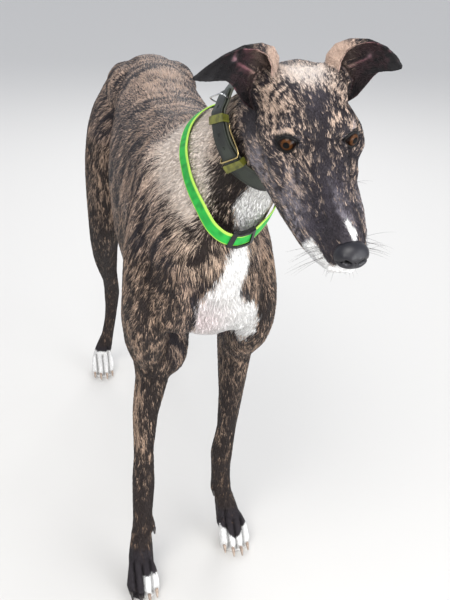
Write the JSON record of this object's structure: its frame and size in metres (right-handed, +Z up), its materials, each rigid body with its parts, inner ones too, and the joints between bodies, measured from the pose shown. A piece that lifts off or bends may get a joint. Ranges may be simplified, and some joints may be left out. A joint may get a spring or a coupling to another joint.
{
  "type": "greyhound model",
  "caption": "Life-size still model of a standing greyhound with its head lowered, wearing a leather collar and a nylon band.",
  "frame": {"origin": "middle of the bounding box, at the level of the soles", "axes": "+Z up, the dog faces -Y, and its left side is +X"},
  "size_m": [0.2872, 1.1792, 0.8356],
  "materials": {
    "coat_brindle": "short flat coat, dark brindle over fawn",
    "coat_dark": "short flat coat, near black",
    "coat_white": "short flat coat, white",
    "coat_face": "very short coat, dark brindle frosted with grey",
    "ear_coat": "velvet coat outside, bare skin inside",
    "claw": "dark horn",
    "eye": "wet amber-brown eye",
    "nose_leather": "pebbled black nose",
    "collar_leather": "dark green-black bridle leather",
    "keeper_leather": "olive leather",
    "collar_brass": "polished",
    "collar_steel": "polished",
    "band_nylon": "woven green nylon with bright edges",
    "band_plastic": "black moulded plastic"
  },
  "bodies": {
    "root": {"band_slide": "band_plastic", "band_strap": "band_nylon", "chest": "coat_brindle", "claw_fore_left_dew": "claw", "claw_fore_left_inner": "claw", "claw_fore_left_mid_inner": "claw", "claw_fore_left_mid_outer": "claw", "claw_fore_left_outer": "claw", "claw_fore_right_dew": "claw", "claw_fore_right_inner": "claw", "claw_fore_right_mid_inner": "claw", "claw_fore_right_mid_outer": "claw", "claw_fore_right_outer": "claw", "claw_hind_left_inner": "claw", "claw_hind_left_mid_inner": "claw", "claw_hind_left_mid_outer": "claw", "claw_hind_left_outer": "claw", "claw_hind_right_inner": "claw", "claw_hind_right_mid_inner": "claw", "claw_hind_right_mid_outer": "claw", "claw_hind_right_outer": "claw", "collar_buckle": "collar_brass", "collar_end_keeper": "keeper_leather", "collar_keeper": "keeper_leather", "collar_ring": "collar_steel", "collar_strap": "collar_leather", "collar_tongue": "collar_leather", "ear_left": "ear_coat", "ear_right": "ear_coat", "eye_left": "eye", "eye_right": "eye", "fore_pastern_left": "coat_dark", "fore_pastern_right": "coat_dark", "fore_paw_left": "coat_white", "fore_paw_right": "coat_white", "forearm_left": "coat_brindle", "forearm_right": "coat_brindle", "head": "coat_face", "hind_pastern_left": "coat_dark", "hind_pastern_right": "coat_dark", "hind_paw_left": "coat_white", "hind_paw_right": "coat_white", "jaw": "coat_white", "loin": "coat_brindle", "neck": "coat_brindle", "nose": "nose_leather", "rump": "coat_brindle", "shank_left": "coat_brindle", "shank_right": "coat_brindle", "tail_base": "coat_brindle", "tail_tip": "coat_dark", "thigh_left": "coat_brindle", "thigh_right": "coat_brindle", "upper_arm_left": "coat_brindle", "upper_arm_right": "coat_brindle"}
  },
  "joints": []
}
